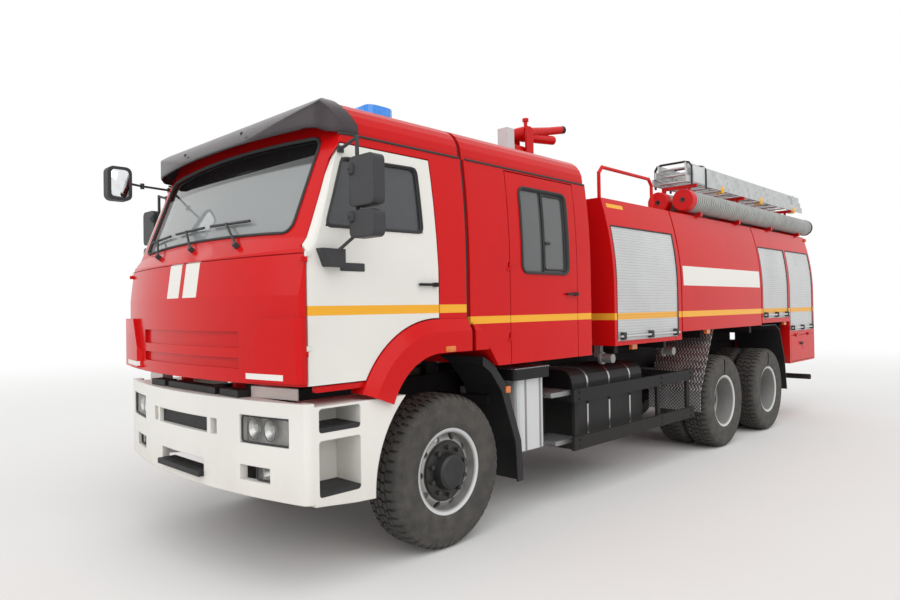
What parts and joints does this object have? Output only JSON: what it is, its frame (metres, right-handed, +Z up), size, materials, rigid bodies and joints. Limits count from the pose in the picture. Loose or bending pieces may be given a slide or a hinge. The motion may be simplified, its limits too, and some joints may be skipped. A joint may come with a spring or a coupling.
{
  "type": "fire truck",
  "caption": "Cab-over fire truck with a tilting driver's cab, a crew cab, shuttered equipment body, roof ladder, hose cases and water monitor.",
  "frame": {"origin": "on the ground, midway along and across the whole truck", "axes": "+X forward, +Y to the driver's left, +Z up"},
  "size_m": [9.88, 3.172, 3.7816],
  "materials": {
    "red_paint": "gloss",
    "white_paint": "gloss",
    "black_metal": "satin",
    "black_plastic": "matte",
    "smoked": "smoked gloss",
    "silver": "satin silver",
    "aluminium": "satin",
    "glass": "clear",
    "lamp_glass": "clear",
    "blue_lens": "gloss",
    "amber_lens": "gloss",
    "rubber": "matte",
    "tyre": "matte",
    "engine": "rough",
    "cloth": "woven",
    "checker": "tread plate",
    "hose_grey": "ribbed"
  },
  "bodies": {
    "chassis": {"frame": "black_metal", "axles": "black_metal", "driveline": "engine", "bumper": "white_paint", "front_treads": "black_plastic", "front_lamps": "lamp_glass", "fuel_tank": "black_metal", "side_tank": "silver", "access_steps": "checker", "side_guards": "black_metal", "mudguards": "black_plastic", "crew_cab": "red_paint", "cab_seal": "rubber", "crew_bench": "cloth", "body_shell": "red_paint", "shutters": "aluminium", "roof_rails": "red_paint", "hose_cases": "hose_grey", "ladder": "aluminium", "monitor_base": "red_paint", "marker_lamps": "amber_lens", "couplings": "aluminium"},
    "cab": {"cab_shell": "red_paint", "front_panel": "red_paint", "windscreen": "glass", "cab_interior": "black_plastic", "cab_seats": "cloth", "wheel_flares": "red_paint", "sun_visor": "smoked", "light_bar": "blue_lens", "cab_fittings": "black_plastic"},
    "cab_door_left": {"cab_door_left": "white_paint", "cab_glass_left": "glass", "mirror_left": "black_plastic"},
    "cab_door_right": {"cab_door_right": "white_paint", "cab_glass_right": "glass", "mirror_right": "black_plastic"},
    "crew_door_left": {"crew_door_left": "red_paint", "crew_glass_left": "glass"},
    "crew_door_right": {"crew_door_right": "red_paint", "crew_glass_right": "glass"},
    "locker_lid_left": {"locker_lid_left": "red_paint"},
    "locker_lid_right": {"locker_lid_right": "red_paint"},
    "monitor_head": {"monitor_head": "red_paint"},
    "monitor_barrel": {"monitor_barrel": "red_paint"},
    "knuckle_left": {"knuckle_left": "black_metal"},
    "knuckle_right": {"knuckle_right": "black_metal"},
    "wheel_front_left": {"tyre_front_left": "tyre", "rim_front_left": "silver"},
    "wheel_front_right": {"tyre_front_right": "tyre", "rim_front_right": "silver"},
    "wheel_mid_left": {"tyre_mid_left": "tyre", "rim_mid_left": "silver"},
    "wheel_mid_right": {"tyre_mid_right": "tyre", "rim_mid_right": "silver"},
    "wheel_rear_left": {"tyre_rear_left": "tyre", "rim_rear_left": "silver"},
    "wheel_rear_right": {"tyre_rear_right": "tyre", "rim_rear_right": "silver"}
  },
  "joints": [
    {"name": "cab_tilt", "type": "hinge", "parent": "chassis", "child": "cab", "pos_m": [4.67, 0, 1.02], "axis": [0, 1, 0], "range_deg": [0, 45]},
    {"name": "cab_door_left_swing", "type": "hinge", "parent": "cab", "child": "cab_door_left", "pos_m": [4.641, 1.24, 1.5], "axis": [0, 0, -1], "range_deg": [0, 75]},
    {"name": "cab_door_right_swing", "type": "hinge", "parent": "cab", "child": "cab_door_right", "pos_m": [4.641, -1.24, 1.5], "axis": [0, 0, 1], "range_deg": [0, 75]},
    {"name": "crew_door_left_swing", "type": "hinge", "parent": "chassis", "child": "crew_door_left", "pos_m": [2.806, 1.24, 1.5], "axis": [0, 0, -1], "range_deg": [0, 80]},
    {"name": "crew_door_right_swing", "type": "hinge", "parent": "chassis", "child": "crew_door_right", "pos_m": [2.806, -1.24, 1.5], "axis": [0, 0, 1], "range_deg": [0, 80]},
    {"name": "locker_lid_left_lift", "type": "hinge", "parent": "chassis", "child": "locker_lid_left", "pos_m": [-4.08, 1.264, 1.219], "axis": [1, 0, 0], "range_deg": [0, 90]},
    {"name": "locker_lid_right_lift", "type": "hinge", "parent": "chassis", "child": "locker_lid_right", "pos_m": [-4.08, -1.264, 1.219], "axis": [-1, 0, 0], "range_deg": [0, 90]},
    {"name": "monitor_pan", "type": "hinge", "parent": "chassis", "child": "monitor_head", "pos_m": [1.02, 0, 3.29], "axis": [0, 0, 1], "range_deg": [-180, 180]},
    {"name": "monitor_tilt", "type": "hinge", "parent": "monitor_head", "child": "monitor_barrel", "pos_m": [1.02, 0, 3.56], "axis": [0, 1, 0], "range_deg": [-20, 60]},
    {"name": "steer_left", "type": "hinge", "parent": "chassis", "child": "knuckle_left", "pos_m": [3.42, 0.86, 0.538], "axis": [0, 0, 1], "range_deg": [-35, 35]},
    {"name": "steer_right", "type": "hinge", "parent": "chassis", "child": "knuckle_right", "pos_m": [3.42, -0.86, 0.538], "axis": [0, 0, 1], "range_deg": [-35, 35]},
    {"name": "wheel_front_left_spin", "type": "hinge", "parent": "knuckle_left", "child": "wheel_front_left", "pos_m": [3.42, 1.02, 0.538], "axis": [0, 1, 0], "continuous": true},
    {"name": "wheel_front_right_spin", "type": "hinge", "parent": "knuckle_right", "child": "wheel_front_right", "pos_m": [3.42, -1.02, 0.538], "axis": [0, 1, 0], "continuous": true},
    {"name": "wheel_mid_left_spin", "type": "hinge", "parent": "chassis", "child": "wheel_mid_left", "pos_m": [-1.18, 0.93, 0.538], "axis": [0, 1, 0], "continuous": true},
    {"name": "wheel_mid_right_spin", "type": "hinge", "parent": "chassis", "child": "wheel_mid_right", "pos_m": [-1.18, -0.93, 0.538], "axis": [0, 1, 0], "continuous": true},
    {"name": "wheel_rear_left_spin", "type": "hinge", "parent": "chassis", "child": "wheel_rear_left", "pos_m": [-2.62, 0.93, 0.538], "axis": [0, 1, 0], "continuous": true},
    {"name": "wheel_rear_right_spin", "type": "hinge", "parent": "chassis", "child": "wheel_rear_right", "pos_m": [-2.62, -0.93, 0.538], "axis": [0, 1, 0], "continuous": true}
  ],
  "couplings": [
    {"joint": "steer_right", "follows": "steer_left", "ratio": 1}
  ]
}
